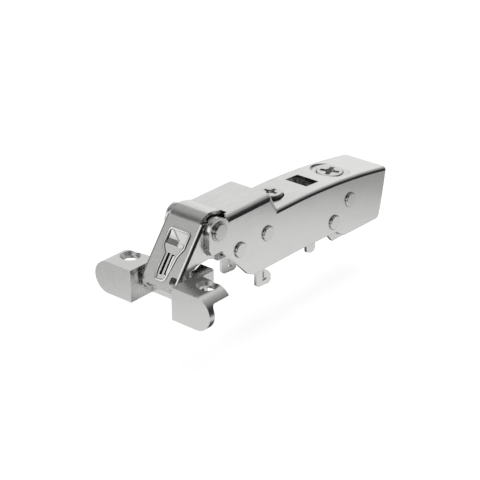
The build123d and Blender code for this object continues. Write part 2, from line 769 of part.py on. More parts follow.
# Bridge that carries the depth screw
with BuildPart() as cam_bridge:
    with BuildSketch(Plane.XZ) as bridge_side:
        with BuildLine():
            Polyline(
                (depth_x - bridge_reach, bridge_top), (depth_x + bridge_reach, bridge_top),
                (depth_x + bridge_reach, 0.5), (depth_x + bridge_reach - 2, -3.0),
                (depth_x - bridge_reach + 1.8, -3.0), (depth_x - bridge_reach, 0.5),
                (depth_x - bridge_reach, bridge_top),
            )
        make_face()
    extrude(amount=bridge_out, both=True)
    with BuildSketch(Plane.YZ.offset(depth_x - 12)) as bridge_bore:
        with Locations((0, bridge_low - 10)):
            Rectangle(2 * bridge_in, 20)
    extrude(amount=30, mode=Mode.SUBTRACT)
    with BuildSketch(Plane.XY.offset(0)) as bridge_hole:
        with Locations((depth_x, 0)):
            Circle(depth_shaft_r + run)
    extrude(amount=5, mode=Mode.SUBTRACT)
    with BuildSketch(Plane.XZ) as bridge_rivet_hole:
        with Locations(rivet_high):
            Circle(rivet_r)
    extrude(amount=bridge_out + 1, both=True, mode=Mode.SUBTRACT)

cam_bridge.part.label = "cam_bridge"
export_step(cam_bridge.part, "parts/cam_bridge.step")

# Side screw
with BuildPart() as side_screw:
    with BuildSketch(Plane.XY.offset(side_head_low)) as side_head:
        with Locations((side_x, 0)):
            Circle(side_head_r)
    extrude(amount=side_head_top - side_head_low)
    fillet(side_screw.edges().group_by(Axis.Z)[-1], 0.5)
    with BuildSketch(Plane.XY.offset(rail_web_top + 0.1)) as side_thread:
        with Locations((side_x, 0)):
            Circle(side_thread_r)
    extrude(amount=side_head_low - rail_web_top - 0.1)
    with BuildSketch(Plane.XY.offset(rail_web_low - 0.1)) as side_neck:
        with Locations((side_x, 0)):
            Circle(side_neck_r)
    extrude(amount=rail_web_top - rail_web_low + 0.2)
    with BuildSketch(Plane.XY.offset(rail_web_low - 1.1)) as side_foot:
        with Locations((side_x, 0)):
            Circle(side_foot_r)
    extrude(amount=1.0)
    with BuildSketch(Plane.XY.offset(side_head_top - 1.3)) as side_cross:
        with Locations((side_x, 0)):
            Rectangle(4.4, 1.1)
            Rectangle(1.1, 4.4)
            Rectangle(2.4, 2.4, rotation=45)
    extrude(amount=2, mode=Mode.SUBTRACT)

side_screw.part.label = "side_screw"
export_step(side_screw.part, "parts/side_screw.step")

# Depth screw with its eccentric cam
with BuildPart() as depth_screw:
    with BuildSketch(Plane.XY.offset(bridge_top + 0.02)) as depth_head:
        with Locations((depth_x, 0)):
            Circle(depth_head_r)
    extrude(amount=depth_head_top - bridge_top - 0.02)
    fillet(depth_screw.edges().group_by(Axis.Z)[-1], 0.4)
    with BuildSketch(Plane.XY.offset(1.0)) as depth_shaft:
        with Locations((depth_x, 0)):
            Circle(depth_shaft_r)
    extrude(amount=bridge_top - 0.9)
    with BuildSketch(Plane.XY.offset(0.9)) as depth_collar:
        with Locations((depth_x, 0)):
            Circle(3.4)
    extrude(amount=bridge_low - 0.95)
    with BuildSketch(Plane.XY.offset(rail_web_low - 0.7)) as depth_cam:
        with Locations((depth_x, cam_offset)):
            Circle(cam_r)
    extrude(amount=6.0)
    with BuildSketch(Plane.XY.offset(depth_head_top - 1.5)) as depth_cross:
        with Locations((depth_x, 0)):
            Rectangle(6.0, 1.5, rotation=20)
            Rectangle(1.5, 6.0, rotation=20)
            Rectangle(3.0, 3.0, rotation=65)
    extrude(amount=3, mode=Mode.SUBTRACT)

depth_screw.part.label = "depth_screw"
export_step(depth_screw.part, "parts/depth_screw.step")

# Release lever in the rear of the rail
with BuildPart() as release_lever:
    with BuildSketch(Plane.XZ) as lever_side:
        with BuildLine():
            Polyline(
                (66.4, lever_top - 1.4), (67.4, lever_top), (88.2, lever_top), (88.2, -9.0), (84.0, -11.2),
                (71.0, -12.6), (66.8, -12.6), (66.4, lever_top - 1.4),
            )
        make_face()
    extrude(amount=lever_out, both=True)
    with BuildSketch(Plane.YZ.offset(60)) as lever_bore:
        with Locations((0, lever_top - 11)):
            Rectangle(2 * lever_in, 20)
    extrude(amount=30, mode=Mode.SUBTRACT)
    with BuildSketch(Plane.XZ) as lever_hole:
        with Locations(lever_pivot):
            Circle(lever_pin_r + run)
    extrude(amount=lever_out + 1, both=True, mode=Mode.SUBTRACT)

release_lever.part.label = "release_lever"
export_step(release_lever.part, "parts/release_lever.step")

lever_pin = Part(pin_along_y(lever_pivot, lever_pin_r, -rail_half, rail_half).wrapped)
lever_pin.label = "lever_pin"
export_step(lever_pin, "parts/lever_pin.step")

# Leaf spring between the rail's web and the lever
with BuildPart() as lever_spring:
    with BuildSketch(Plane.XZ) as leaf:
        with BuildLine():
            Polyline(
                (75.4, rail_web_low), (78.0, rail_web_low), (83.6, lever_top + 0.35), (85.4, lever_top + 0.35),
                (85.4, lever_top), (83.4, lever_top), (77.8, rail_web_low - 0.35), (75.4, rail_web_low - 0.35),
                (75.4, rail_web_low),
            )
        make_face()
    extrude(amount=2.0, both=True)

lever_spring.part.label = "lever_spring"
export_step(lever_spring.part, "parts/lever_spring.step")
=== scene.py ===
"""Furniture hinge held open: materials, small pressed details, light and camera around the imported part."""
import math

import bmesh
import bpy
from mathutils import Matrix, Vector


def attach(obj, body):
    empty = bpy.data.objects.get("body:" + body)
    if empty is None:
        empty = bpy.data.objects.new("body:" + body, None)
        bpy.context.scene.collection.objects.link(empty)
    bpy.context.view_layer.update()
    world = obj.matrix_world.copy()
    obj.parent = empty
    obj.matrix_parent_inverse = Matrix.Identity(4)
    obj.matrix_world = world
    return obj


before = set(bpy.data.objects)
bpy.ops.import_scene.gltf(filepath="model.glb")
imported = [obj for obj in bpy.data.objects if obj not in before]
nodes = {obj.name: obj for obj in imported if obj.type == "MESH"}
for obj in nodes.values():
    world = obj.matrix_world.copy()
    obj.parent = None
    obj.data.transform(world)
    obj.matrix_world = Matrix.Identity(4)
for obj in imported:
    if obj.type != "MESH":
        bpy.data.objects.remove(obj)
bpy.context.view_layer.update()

MM = 0.001

# Camera, fitted to the photograph: angles in degrees, lengths in millimetres
CAMERA_AZIMUTH = -50.01
CAMERA_ELEVATION = 25.78
CAMERA_ROLL = -0.09
CAMERA_DISTANCE = 429.68
CAMERA_TARGET = (30.0, 0.0, 0.0)
CAMERA_SHIFT_RIGHT = 0.19
CAMERA_SHIFT_UP = -1.86
CAMERA_CLIP_START = 0.01
SENSOR_WIDTH = 36.0
LENS = 113.80

# Patterns in the metal: noise scales per metre, noise detail and noise roughness
STREAKS = (2600.0, 3.0, 0.6)
PATCHES = (130.0, 3.0, 0.55)
SPECKS = (9000.0, 2.0, 0.6)

# Patterns in the plastic
PEBBLE = (5000.0, 2.0, 0.5)
CLOUDS = (200.0, 2.0, 0.5)

# Most of a noise lies between these two values
NOISE_LOW = 0.3
NOISE_HIGH = 0.7

# How far the patterns change the metal's colour and roughness
STREAK_TONE = 0.05
PATCH_TONE = 0.03
SPECK_TONE = 0.02
# The edge tone lightens the colour along edges: a painted highlight
EDGE_HIGHLIGHT_TONE = 0.22
STREAK_ROUGHNESS = 0.05
PATCH_ROUGHNESS = 0.04
WORN_ROUGHNESS = -0.08

# Edges, lighter in colour as a painted highlight and less rough from wear: size of the edge in metres, and
# how far its normal leaves the flat one
EDGE_RADIUS = 0.0002
EDGE_NONE = 0.995
EDGE_FULL = 0.85

# Painted shade in crevices: reach in metres, and the openness at which it's full and gone
CREVICE_SHADE_REACH = 0.0009
CREVICE_SHADE_FULL = 0.30
CREVICE_SHADE_NONE = 0.88

# Rays that look for edges and for crevices
EDGE_SAMPLES = 4
CREVICE_SAMPLES = 8

# Fine relief: heights in metres, and the shares of streaks and specks in the metal's
METAL_RELIEF = 0.00002
STREAK_SHARE = 0.6
SPECK_SHARE = 0.4
PLASTIC_RELIEF = 0.00003
PLASTIC_BUMP = 0.2

# Plastic: its roughness, and how far its roughness and its colour vary
PLASTIC_ROUGHNESS = 0.5
PLASTIC_UNEVEN = 0.1
PLASTIC_TONE = 0.1

# Outer link's face, as in the part: pivot, tilt, and height of the face above the pivot, in millimetres
LINK_PIVOT = (11.9, 9.7)
LINK_TILT = math.radians(37.28)
LINK_FACE = 5.6

# Outline of the pressed keyhole in millimetres: distance down the face from the pivot, and Y
KEYHOLE = (
    (3.45, 2.9), (3.45, -3.4), (4.3, -4.15), (8.3, -4.15), (10.9, -2.9), (17.6, -2.1), (18.4, -1.3),
    (18.5, 1.0), (18.1, 1.6), (15.7, 2.0), (10.9, 1.9), (9.2, 3.4), (4.3, 3.5),
)

# Keeps a sharp corner from moving too far when an outline is inset
SHARPEST = 0.3

# Half-round rim along that outline, in millimetres
RIM_INSET = 0.25
RIM_HALF_WIDTH = 0.36
RIM_RISE = 0.34
RIM_BASE = 0.08
RIM_STEPS = 8

# Pressed floor inside the rim: a grid of small cells, in millimetres, and how far its outer edge turns down
PRESSED_INSET = 0.42
CELL = 0.1
GRID_START = (3.4, -4.175)
GRID_ROWS = 152
GRID_COLUMNS = 79
EDGE_DEPTH = 0.40

# The two slits: start and end down the face, and lower and upper Y
SLITS = ((10.5, 16.7, -0.075, 0.775), (10.6, 16.4, -1.675, -0.725))

# How far the floor turns down round a slit, and how near to the slit its edges are looked for
SLIT_DEPTH = 1.25
SLIT_MARGIN = 0.2

# Head of the keyhole: its far facet falls and climbs again, and its near facet slopes evenly
HEAD_START = 3.9
HEAD_END = 8.3
FAR_LOWEST_AT = 2.7
FAR_LOWEST = -0.255
FAR_FALL = -0.17
FAR_CURVE = 0.028
FAR_CLIMB = 0.175
NEAR_HEIGHT = -0.045
NEAR_SLOPE_ACROSS = 0.0796
NEAR_SLOPE_DOWN = 0.0142

# Ridge between the facets: its Y at the head's start, and where it ends
RIDGE_START = 2.45
RIDGE_END = (6.85, -1.27)
RIDGE_RISE = 0.07
RIDGE_HALF_WIDTH = 0.28

# Small raised pad beside the end of the ridge: where it starts, and its two sides
PAD_START = 7.1
PAD_LOW = -3.2
PAD_HIGH = -1.7
PAD_RISE = 0.16

# Strips seen in the slits, each from its four top corners as down, across and height: a tongue, and a black
# sheet behind the slits that is painted shade
TONGUE = ((10.9, -1.20, -0.10), (10.9, -1.64, -0.20), (16.1, -1.64, -0.20), (16.1, -1.20, -0.10))
SLIT_SHADE_SHEET = ((10.2, 1.05, -1.05), (17.0, 1.05, -1.05), (17.0, -1.95, -1.05), (10.2, -1.95, -1.05))
STRIP_THICKNESS = 0.15

# Outline of the thin shims between the casing's nose and the link, as x and z, and their two sides' Y
SHIM = (
    (8.8, 3.2), (7.5, 5.3), (7.5, 9.7), (7.75, 11.0), (8.7, 12.5), (10.2, 13.4), (11.8, 13.6), (13.4, 12.9),
    (13.6, 9.0), (13.2, 5.0), (12.2, 3.7),
)
SHIM_INNER = 6.62
SHIM_OUTER = 6.96

# Floor, in metres
FLOOR_LEVEL = -0.030
FLOOR_REACH = 4.0
FLOOR_DIFFUSE = (0.30, 0.30, 0.30, 1.0)
FLOOR_GLOW = 0.80
FLOOR_PLAIN = (0.8, 0.8, 0.8, 1.0)

# Slanting bands of light that the metal mirrors from the floor
BAND_SLANT = 0.8
BAND_FROM = -0.10
BAND_TO = 0.20
BANDS = (
    (0.0, 0.58), (0.053, 0.64), (0.127, 0.76), (0.167, 0.90), (0.22, 0.82), (0.33, 0.80), (0.66, 0.79),
    (0.77, 0.75), (0.87, 0.58), (0.913, 0.43), (1.0, 0.36),
)

# Light left in the painted shadows on the floor that the metal mirrors
DARK_LEVEL = 0.05

# Painted shadow of the part on the floor that the metal mirrors: its middle, and where it begins to fade and
# has faded, along and across
UNDER_MIDDLE = 0.045
UNDER_LENGTH = (0.055, 0.070)
UNDER_WIDTH = (0.012, 0.017)

# Painted shadow in round patches beside the near lug, on the floor that the metal mirrors: their centres, and
# where they begin to fade and have faded
LUG_PATCHES = ((0.0155, -0.029, FLOOR_LEVEL), (0.0145, -0.018, FLOOR_LEVEL))
LUG_PATCH_RADIUS = (0.0065, 0.0090)

# Painted shade on the floor that the metal mirrors, beyond a line in front of the part: two places along X,
# its distance at each, and its soft edge
FRONT_X = (0.085, 0.108)
FRONT_DISTANCE = (0.070, 0.062)
FRONT_FADE = 0.006

# Studio that the metal mirrors: light level from left to right, with a dark band over the door end
SIDE = (
    (0.0, 0.95), (0.115, 1.05), (0.15, 0.92), (0.178, 0.62), (0.20, 0.52), (0.222, 0.40), (0.25, 0.16),
    (0.285, 0.12), (0.32, 0.15), (0.38, 0.24), (0.43, 0.31), (0.485, 0.37), (0.54, 0.40), (0.69, 0.42),
    (0.735, 0.52), (0.775, 0.75), (0.81, 0.84), (0.845, 0.79), (0.87, 0.81), (0.91, 0.91), (1.0, 0.91),
)

# Dark walls: a direction, and the share of light left as the mirrored direction nears it
NEAR_RIGHT_WALL = (
    (0.69, -0.72, 0.05),
    ((0.10, 1.0), (0.30, 0.97), (0.45, 0.85), (0.576, 0.60), (0.746, 0.45), (0.84, 0.36), (0.90, 0.12),
     (0.96, 0.04), (1.0, 0.02)),
)
NEAR_WALL = ((-0.10, -0.98, 0.15), ((0.82, 1.0), (0.89, 0.40), (0.93, 0.06), (1.0, 0.02)))
NEAR_LEFT_WALL = ((-0.55, -0.62, 0.55), ((0.87, 1.0), (0.94, 0.35), (0.97, 0.10), (1.0, 0.06)))

# World's plain light
WORLD_DIFFUSE = (0.72, 0.72, 0.72, 1.0)
WHITE = (1.0, 1.0, 1.0, 1.0)

# Lamp, in metres and watts
LAMP_PLACE = (0.05, 0.10, 0.60)
LAMP_TARGET = (0.04, 0.0, 0.0)
LAMP_SIZE = 0.5
LAMP_POWER = 2.2


def add_camera():
    """Places the camera from its two angles, its roll and its distance."""
    azimuth = math.radians(CAMERA_AZIMUTH)
    elevation = math.radians(CAMERA_ELEVATION)
    roll = math.radians(CAMERA_ROLL)
    back = Vector((
        math.sin(azimuth) * math.cos(elevation),
        -math.cos(azimuth) * math.cos(elevation),
        math.sin(elevation),
    ))
    right = Vector((math.cos(azimuth), math.sin(azimuth), 0.0))
    up = back.cross(right)
    turned_right = right * math.cos(roll) + up * math.sin(roll)
    turned_up = up * math.cos(roll) - right * math.sin(roll)
    place = Vector(CAMERA_TARGET) + back * CAMERA_DISTANCE
    place += turned_right * CAMERA_SHIFT_RIGHT + turned_up * CAMERA_SHIFT_UP
    data = bpy.data.cameras.new("camera")
    data.sensor_width = SENSOR_WIDTH
    data.lens = LENS
    data.clip_start = CAMERA_CLIP_START
    camera = bpy.data.objects.new("camera", data)
    camera.matrix_world = Matrix((
        (turned_right.x, turned_up.x, back.x, place.x * MM),
        (turned_right.y, turned_up.y, back.y, place.y * MM),
        (turned_right.z, turned_up.z, back.z, place.z * MM),
        (0.0, 0.0, 0.0, 1.0),
    ))
    bpy.context.scene.collection.objects.link(camera)
    bpy.context.scene.camera = camera


class Nodes:
    """Short calls for building a node tree."""

    def __init__(self, tree):
        self.tree = tree

    def add(self, kind, **settings):
        """One new node."""
        node = self.tree.nodes.new("ShaderNode" + kind)
        for key, value in settings.items():
            setattr(node, key, value)
        return node

    def join(self, value, target):
        """Joins an output to a socket, or sets the socket to a plain value."""
        if isinstance(value, bpy.types.NodeSocket):
            self.tree.links.new(value, target)
        else:
            target.default_value = value

    def math(self, operation, first, second=None, clamp=False):
        """A sum on one or two numbers."""
        node = self.add("Math", operation=operation, use_clamp=clamp)
        self.join(first, node.inputs[0])
        if second is not None:
            self.join(second, node.inputs[1])
        return node.outputs[0]

    def ramp(self, factor, stops):
        """Grey levels along a factor from 0 to 1."""
        node = self.add("ValToRGB")
        elements = node.color_ramp.elements
        while len(elements) < len(stops):
            elements.new(0.5)
        for element, (position, level) in zip(elements, stops):
            element.position = position
            element.color = (level, level, level, 1.0)
        self.join(factor, node.inputs["Fac"])
        return node.outputs["Color"]

    def noise(self, vector, pattern):
        """Noise with a pattern's scale, detail and roughness."""
        scale, detail, roughness = pattern
        node = self.add("TexNoise")
        self.join(scale, node.inputs["Scale"])
        self.join(detail, node.inputs["Detail"])
        self.join(roughness, node.inputs["Roughness"])
        self.join(vector, node.inputs["Vector"])
        return node.outputs["Fac"]

    def span(self, value, low, high, to_low, to_high):
        """A value between two limits, moved to lie between two others."""
        node = self.add("MapRange")
        self.join(low, node.inputs["From Min"])
        self.join(high, node.inputs["From Max"])
        self.join(to_low, node.inputs["To Min"])
        self.join(to_high, node.inputs["To Max"])
        self.join(value, node.inputs["Value"])
        return node.outputs["Result"]

    def sway(self, noise, amount, middle=0.0):
        """A noise, spread over an amount on each side of a middle value."""
        return self.span(noise, NOISE_LOW, NOISE_HIGH, middle - amount, middle + amount)

    def fade(self, value, limits):
        """0 below the first of two limits and 1 above the second."""
        return self.span(value, limits[0], limits[1], 0.0, 1.0)

    def vector(self, operation, first, second, output="Vector"):
        """A sum on two vectors."""
        node = self.add("VectorMath", operation=operation)
        self.join(first, node.inputs[0])
        self.join(second, node.inputs[1])
        return node.outputs[output]

    def shade(self, colour, level):
        """A colour, made darker or lighter by a level."""
        node = self.add("VectorMath", operation="SCALE")
        self.join(colour, node.inputs[0])
        self.join(level, node.inputs["Scale"])
        return node.outputs["Vector"]

    def surface(self, kind, **values):
        """A shader node with its sockets set, as its output."""
        node = self.add(kind)
        for socket, value in values.items():
            self.join(value, node.inputs[socket])
        return node.outputs[0]

    def choose(self, switch, off, on):
        """One shader where a switch is off and another where it is on."""
        node = self.add("MixShader")
        self.join(switch, node.inputs[0])
        self.join(off, node.inputs[1])
        self.join(on, node.inputs[2])
        return node.outputs[0]


def plated_metal(name, colour, rough, grain=(1.0, 1.0, 1.0), pits=0.10, crevice_shade_level=0.55):
    """Plated metal: streaks along the grain, fine pits, cloudy patches, edges with a painted highlight and
    crevices with painted shade.
    """
    material = bpy.data.materials.new(name)
    material.use_nodes = True
    tree = material.node_tree
    tree.nodes.clear()
    n = Nodes(tree)
    shader = n.add("BsdfPrincipled")
    n.join(1.0, shader.inputs["Metallic"])
    out = n.add("OutputMaterial")
    n.join(shader.outputs["BSDF"], out.inputs["Surface"])
    place = n.add("TexCoord").outputs["Object"]
    stretched = n.add("Mapping")
    n.join(grain, stretched.inputs["Scale"])
    n.join(place, stretched.inputs["Vector"])
    streaks = n.noise(stretched.outputs["Vector"], STREAKS)
    patches = n.noise(place, PATCHES)
    specks = n.noise(place, SPECKS)
    # Edges: where the rounded normal leaves the flat one; they get a painted highlight in the colour and less
    # roughness from wear
    bevel = n.add("Bevel", samples=EDGE_SAMPLES)
    n.join(EDGE_RADIUS, bevel.inputs["Radius"])
    flat = n.add("NewGeometry").outputs["Normal"]
    turn = n.vector("DOT_PRODUCT", bevel.outputs["Normal"], flat, output="Value")
    edge_wear_and_highlight = n.span(turn, EDGE_NONE, EDGE_FULL, 0.0, 1.0)
    # Painted shade, darker where two surfaces meet
    crevice = n.add("AmbientOcclusion", samples=CREVICE_SAMPLES)
    n.join(CREVICE_SHADE_REACH, crevice.inputs["Distance"])
    crevice_shade = n.span(crevice.outputs["AO"], CREVICE_SHADE_FULL, CREVICE_SHADE_NONE, crevice_shade_level, 1.0)
    # Colour, with a painted highlight along the edges and painted shade in the crevices
    tone = n.math("ADD", n.sway(streaks, STREAK_TONE), n.sway(patches, PATCH_TONE))
    tone = n.math("ADD", tone, n.sway(specks, SPECK_TONE))
    # Lighter along the edges: a painted highlight
    tone = n.math("ADD", tone, n.math("MULTIPLY", edge_wear_and_highlight, EDGE_HIGHLIGHT_TONE))
    # Darker in crevices: painted shade
    bright = n.math("MULTIPLY", n.math("ADD", tone, 1.0), crevice_shade)
    n.join(n.shade(colour, bright), shader.inputs["Base Color"])
    # Roughness
    uneven = n.math("ADD", n.sway(streaks, STREAK_ROUGHNESS), n.sway(patches, PATCH_ROUGHNESS))
    uneven = n.math("ADD", uneven, n.math("MULTIPLY", edge_wear_and_highlight, WORN_ROUGHNESS))
    n.join(n.math("ADD", uneven, rough, clamp=True), shader.inputs["Roughness"])
    # Fine relief, on a rounded normal along the edges
    relief = n.math("ADD", n.math("MULTIPLY", streaks, STREAK_SHARE), n.math("MULTIPLY", specks, SPECK_SHARE))
    rounded = n.add("Mix", data_type="VECTOR")
    n.join(edge_wear_and_highlight, rounded.inputs["Factor"])
    n.join(flat, rounded.inputs[4])
    n.join(bevel.outputs["Normal"], rounded.inputs[5])
    bump = n.surface("Bump", Strength=pits, Distance=METAL_RELIEF, Height=relief, Normal=rounded.outputs[1])
    n.join(bump, shader.inputs["Normal"])
    return material


def moulded_plastic(name, colour):
    """Moulded plastic with a light pebble and faint clouds."""
    material = bpy.data.materials.new(name)
    material.use_nodes = True
    tree = material.node_tree
    n = Nodes(tree)
    shader = tree.nodes["Principled BSDF"]
    place = n.add("TexCoord").outputs["Object"]
    pebble = n.noise(place, PEBBLE)
    clouds = n.noise(place, CLOUDS)
    n.join(n.shade(colour, n.sway(clouds, PLASTIC_TONE, middle=1.0)), shader.inputs["Base Color"])
    n.join(n.sway(pebble, PLASTIC_UNEVEN, middle=PLASTIC_ROUGHNESS), shader.inputs["Roughness"])
    bump = n.surface("Bump", Strength=PLASTIC_BUMP, Distance=PLASTIC_RELIEF, Height=pebble)
    n.join(bump, shader.inputs["Normal"])
    return material


# Materials: colour, roughness, and the scale of the grain, which is smallest along the streaks; some also set
# how dark the painted shade in crevices is
NICKEL = (0.80, 0.80, 0.79)
casing_metal = plated_metal("casing_nickel", NICKEL, 0.19, grain=(0.10, 1.0, 1.0), crevice_shade_level=0.50)
link_metal = plated_metal("link_nickel", NICKEL, 0.19, grain=(1.0, 0.12, 1.0), crevice_shade_level=0.45)
rail_metal = plated_metal("rail_nickel", (0.78, 0.78, 0.77), 0.22, grain=(0.12, 1.0, 1.0))
bracket_metal = plated_metal("bracket_nickel", (0.74, 0.74, 0.73), 0.27, grain=(1.0, 1.0, 0.2), pits=0.07)
# A lighter copy of the link's nickel for the keyhole's rim, floor and tongue: a painted highlight
lightened_pressed_metal = plated_metal("pressed_nickel_lightened", (0.97, 0.97, 0.96), 0.17, crevice_shade_level=0.60)
screw_metal = plated_metal("screw_steel", (0.76, 0.76, 0.75), 0.22, crevice_shade_level=0.75)
rivet_metal = plated_metal("rivet_steel", (0.78, 0.78, 0.77), 0.21, crevice_shade_level=0.30)
pin_metal = plated_metal("pin_steel", (0.62, 0.62, 0.62), 0.30, grain=(1.0, 0.1, 1.0))
inner_metal = plated_metal("inner_steel", (0.36, 0.36, 0.35), 0.34)
cage_metal = plated_metal("cage_steel", (0.66, 0.66, 0.65), 0.26, crevice_shade_level=0.70)
# Near-black sheet behind the slits: painted shade
slit_shade_metal = plated_metal("slit_shade_black", (0.03, 0.03, 0.03), 0.50)
spring_metal = plated_metal("spring_steel", (0.45, 0.45, 0.46), 0.30)
damper_plastic = moulded_plastic("damper_plastic", (0.30, 0.30, 0.31))
fork_plastic = moulded_plastic("fork_plastic", (0.60, 0.60, 0.60))

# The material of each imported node
DRESS = {
    "arm_casing": casing_metal, "clip_rail": rail_metal, "mechanism_cage": cage_metal,
    "outer_link": link_metal, "inner_link": inner_metal, "door_bracket": bracket_metal,
    "arm_pivot_pin": rivet_metal, "pivot_washers": rivet_metal, "inner_pivot_pin": pin_metal,
    "inner_spacers": pin_metal, "link_pin": pin_metal, "guide_pin": pin_metal, "yoke_pin": pin_metal,
    "damper_fork": fork_plastic, "damper_housing": damper_plastic, "closing_spring": spring_metal,
    "front_rivets": rivet_metal, "bridge_rivets": rivet_metal, "rail_rivet": rivet_metal,
    "cage_sleeves": pin_metal, "cam_bridge": inner_metal, "side_screw": screw_metal,
    "depth_screw": screw_metal, "release_lever": rail_metal, "lever_pin": pin_metal,
    "lever_spring": spring_metal,
}
for node_name, dress in DRESS.items():
    node = nodes[node_name]
    node.data.materials.clear()
    node.data.materials.append(dress)


def on_face(down, across, height):
    """A point on the outer link's face, from millimetres to metres."""
    out_of_pivot = LINK_FACE + height
    x = LINK_PIVOT[0] - down * math.sin(LINK_TILT) - out_of_pivot * math.cos(LINK_TILT)
    z = LINK_PIVOT[1] - down * math.cos(LINK_TILT) + out_of_pivot * math.sin(LINK_TILT)
    return Vector((x * MM, across * MM, z * MM))


FACE_START = on_face(0.0, 0.0, 0.0)


def add_piece(name, vertices, faces, material, body, smooth=False):
    """One added piece that rides on a body of the part."""
    mesh = bpy.data.meshes.new(name)
    mesh.from_pydata([tuple(v) for v in vertices], [], faces)
    shaped = bmesh.new()
    shaped.from_mesh(mesh)
    bmesh.ops.recalc_face_normals(shaped, faces=shaped.faces)
    shaped.to_mesh(mesh)
    shaped.free()
    for face in mesh.polygons:
        face.use_smooth = smooth
    mesh.materials.append(material)
    piece = bpy.data.objects.new(name, mesh)
    bpy.context.scene.collection.objects.link(piece)
    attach(piece, body)
    return piece


def add_prism(name, near, far, material, body):
    """A closed solid between two like outlines."""
    count = len(near)
    faces = [tuple(range(count)), tuple(range(2 * count - 1, count - 1, -1))]
    for k in range(count):
        after = (k + 1) % count
        faces.append((k, after, count + after, count + k))
    add_piece(name, near + far, faces, material, body)


def inset(outline, amount):
    """The outline moved inward by the same amount all round."""
    moved = []
    count = len(outline)
    for k in range(count):
        before = Vector(outline[k - 1])
        here = Vector(outline[k])
        after = Vector(outline[(k + 1) % count])
        first = (here - before).normalized()
        second = (after - here).normalized()
        # The inside lies to the left of each edge, seen with distance down to the right and Y up
        normal_first = Vector((-first.y, first.x))
        normal_second = Vector((-second.y, second.x))
        middle = (normal_first + normal_second).normalized()
        moved.append(here + middle * amount / max(SHARPEST, middle.dot(normal_first)))
    return moved


def inside(point, outline):
    """Whether a point lies inside a closed outline."""
    hit = False
    for k in range(len(outline)):
        a = outline[k - 1]
        b = outline[k]
        if (a[1] > point[1]) != (b[1] > point[1]):
            if point[0] < (b[0] - a[0]) * (point[1] - a[1]) / (b[1] - a[1]) + a[0]:
                hit = not hit
    return hit


def in_slit(down, across, margin=0.0):
    """Whether a point of the face lies in one of the slits, or within a margin of it."""
    for start, end, low, high in SLITS:
        if start - margin < down < end + margin and low - margin < across < high + margin:
            return True
    return False


def add_keyhole_rim():
    """The half-round rim round the pressed keyhole."""
    vertices = []
    for k in range(RIM_STEPS + 1):
        angle = math.pi * k / RIM_STEPS
        offset = RIM_INSET + RIM_HALF_WIDTH * math.cos(angle)
        height = RIM_BASE + RIM_RISE * math.sin(angle)
        for point in inset(KEYHOLE, offset):
            vertices.append(on_face(point[0], point[1], height))
    count = len(KEYHOLE)
    faces = []
    for k in range(RIM_STEPS):
        for m in range(count):
            after = (m + 1) % count
            faces.append((k * count + m, k * count + after, (k + 1) * count + after, (k + 1) * count + m))
    add_piece("keyhole_rim", vertices, faces, lightened_pressed_metal, "link", smooth=True)


def pressed_height(down, across):
    """Height of the pressed floor: flat below, two facets with a ridge between them in the head."""
    if down > HEAD_END:
        return 0.0
    run = max(0.0, down - HEAD_START)
    reach = RIDGE_END[0] - HEAD_START
    ridge = RIDGE_START + (RIDGE_END[1] - RIDGE_START) * min(1.0, run / reach)
    if across <= ridge:
        height = NEAR_HEIGHT + NEAR_SLOPE_ACROSS * across + NEAR_SLOPE_DOWN * run
    elif run > FAR_LOWEST_AT:
        height = FAR_LOWEST + FAR_CLIMB * (run - FAR_LOWEST_AT)
    else:
        height = FAR_FALL * run + FAR_CURVE * run * run
    if run < reach:
        away = abs(across - ridge) * reach / math.hypot(reach, RIDGE_START - RIDGE_END[1])
        height += RIDGE_RISE * max(0.0, 1.0 - (away / RIDGE_HALF_WIDTH) ** 2)
    if down > PAD_START and PAD_LOW < across < PAD_HIGH:
        height += PAD_RISE
    return height


def turn_down_edges(piece):
    """Turns every free edge of the pressed floor down into the link, deeper round the slits."""
    down_face = (on_face(1.0, 0.0, 0.0) - FACE_START).normalized()
    shaped = bmesh.new()
    shaped.from_mesh(piece.data)
    outer = []
    round_slits = []
    for edge in shaped.edges:
        if not edge.is_boundary:
            continue
        middle = (edge.verts[0].co + edge.verts[1].co) / 2
        down = (middle - FACE_START).dot(down_face) / MM
        if in_slit(down, middle.y / MM, SLIT_MARGIN):
            round_slits.append(edge)
        else:
            outer.append(edge)
    for edges, depth in ((outer, EDGE_DEPTH), (round_slits, SLIT_DEPTH)):
        grown = bmesh.ops.extrude_edge_only(shaped, edges=edges)
        moved = [item for item in grown["geom"] if isinstance(item, bmesh.types.BMVert)]
        bmesh.ops.translate(shaped, verts=moved, vec=on_face(0.0, 0.0, -depth) - FACE_START)
    bmesh.ops.recalc_face_normals(shaped, faces=shaped.faces)
    shaped.to_mesh(piece.data)
    shaped.free()


def add_keyhole_floor():
    """The pressed floor inside the rim, open at the two slits."""
    outline = [tuple(point) for point in inset(KEYHOLE, PRESSED_INSET)]
    corners = {}
    vertices = []
    faces = []

    def corner(i, j):
        """Number of a corner of the grid, which is made when it's first asked for."""
        if (i, j) not in corners:
            corners[(i, j)] = len(vertices)
            down = GRID_START[0] + i * CELL
            across = GRID_START[1] + j * CELL
            vertices.append(on_face(down, across, pressed_height(down, across)))
        return corners[(i, j)]

    for i in range(GRID_ROWS):
        for j in range(GRID_COLUMNS):
            down = GRID_START[0] + (i + 0.5) * CELL
            across = GRID_START[1] + (j + 0.5) * CELL
            if inside((down, across), outline) and not in_slit(down, across):
                faces.append((corner(i, j), corner(i + 1, j), corner(i + 1, j + 1), corner(i, j + 1)))
    turn_down_edges(add_piece("keyhole_floor", vertices, faces, lightened_pressed_metal, "link"))


def add_strip(name, corners, material):
    """A thin strip in the link's face, from its four top corners."""
    top = [on_face(*corner) for corner in corners]
    drop = on_face(0.0, 0.0, -STRIP_THICKNESS) - FACE_START
    add_prism(name, top, [point + drop for point in top], material, "link")


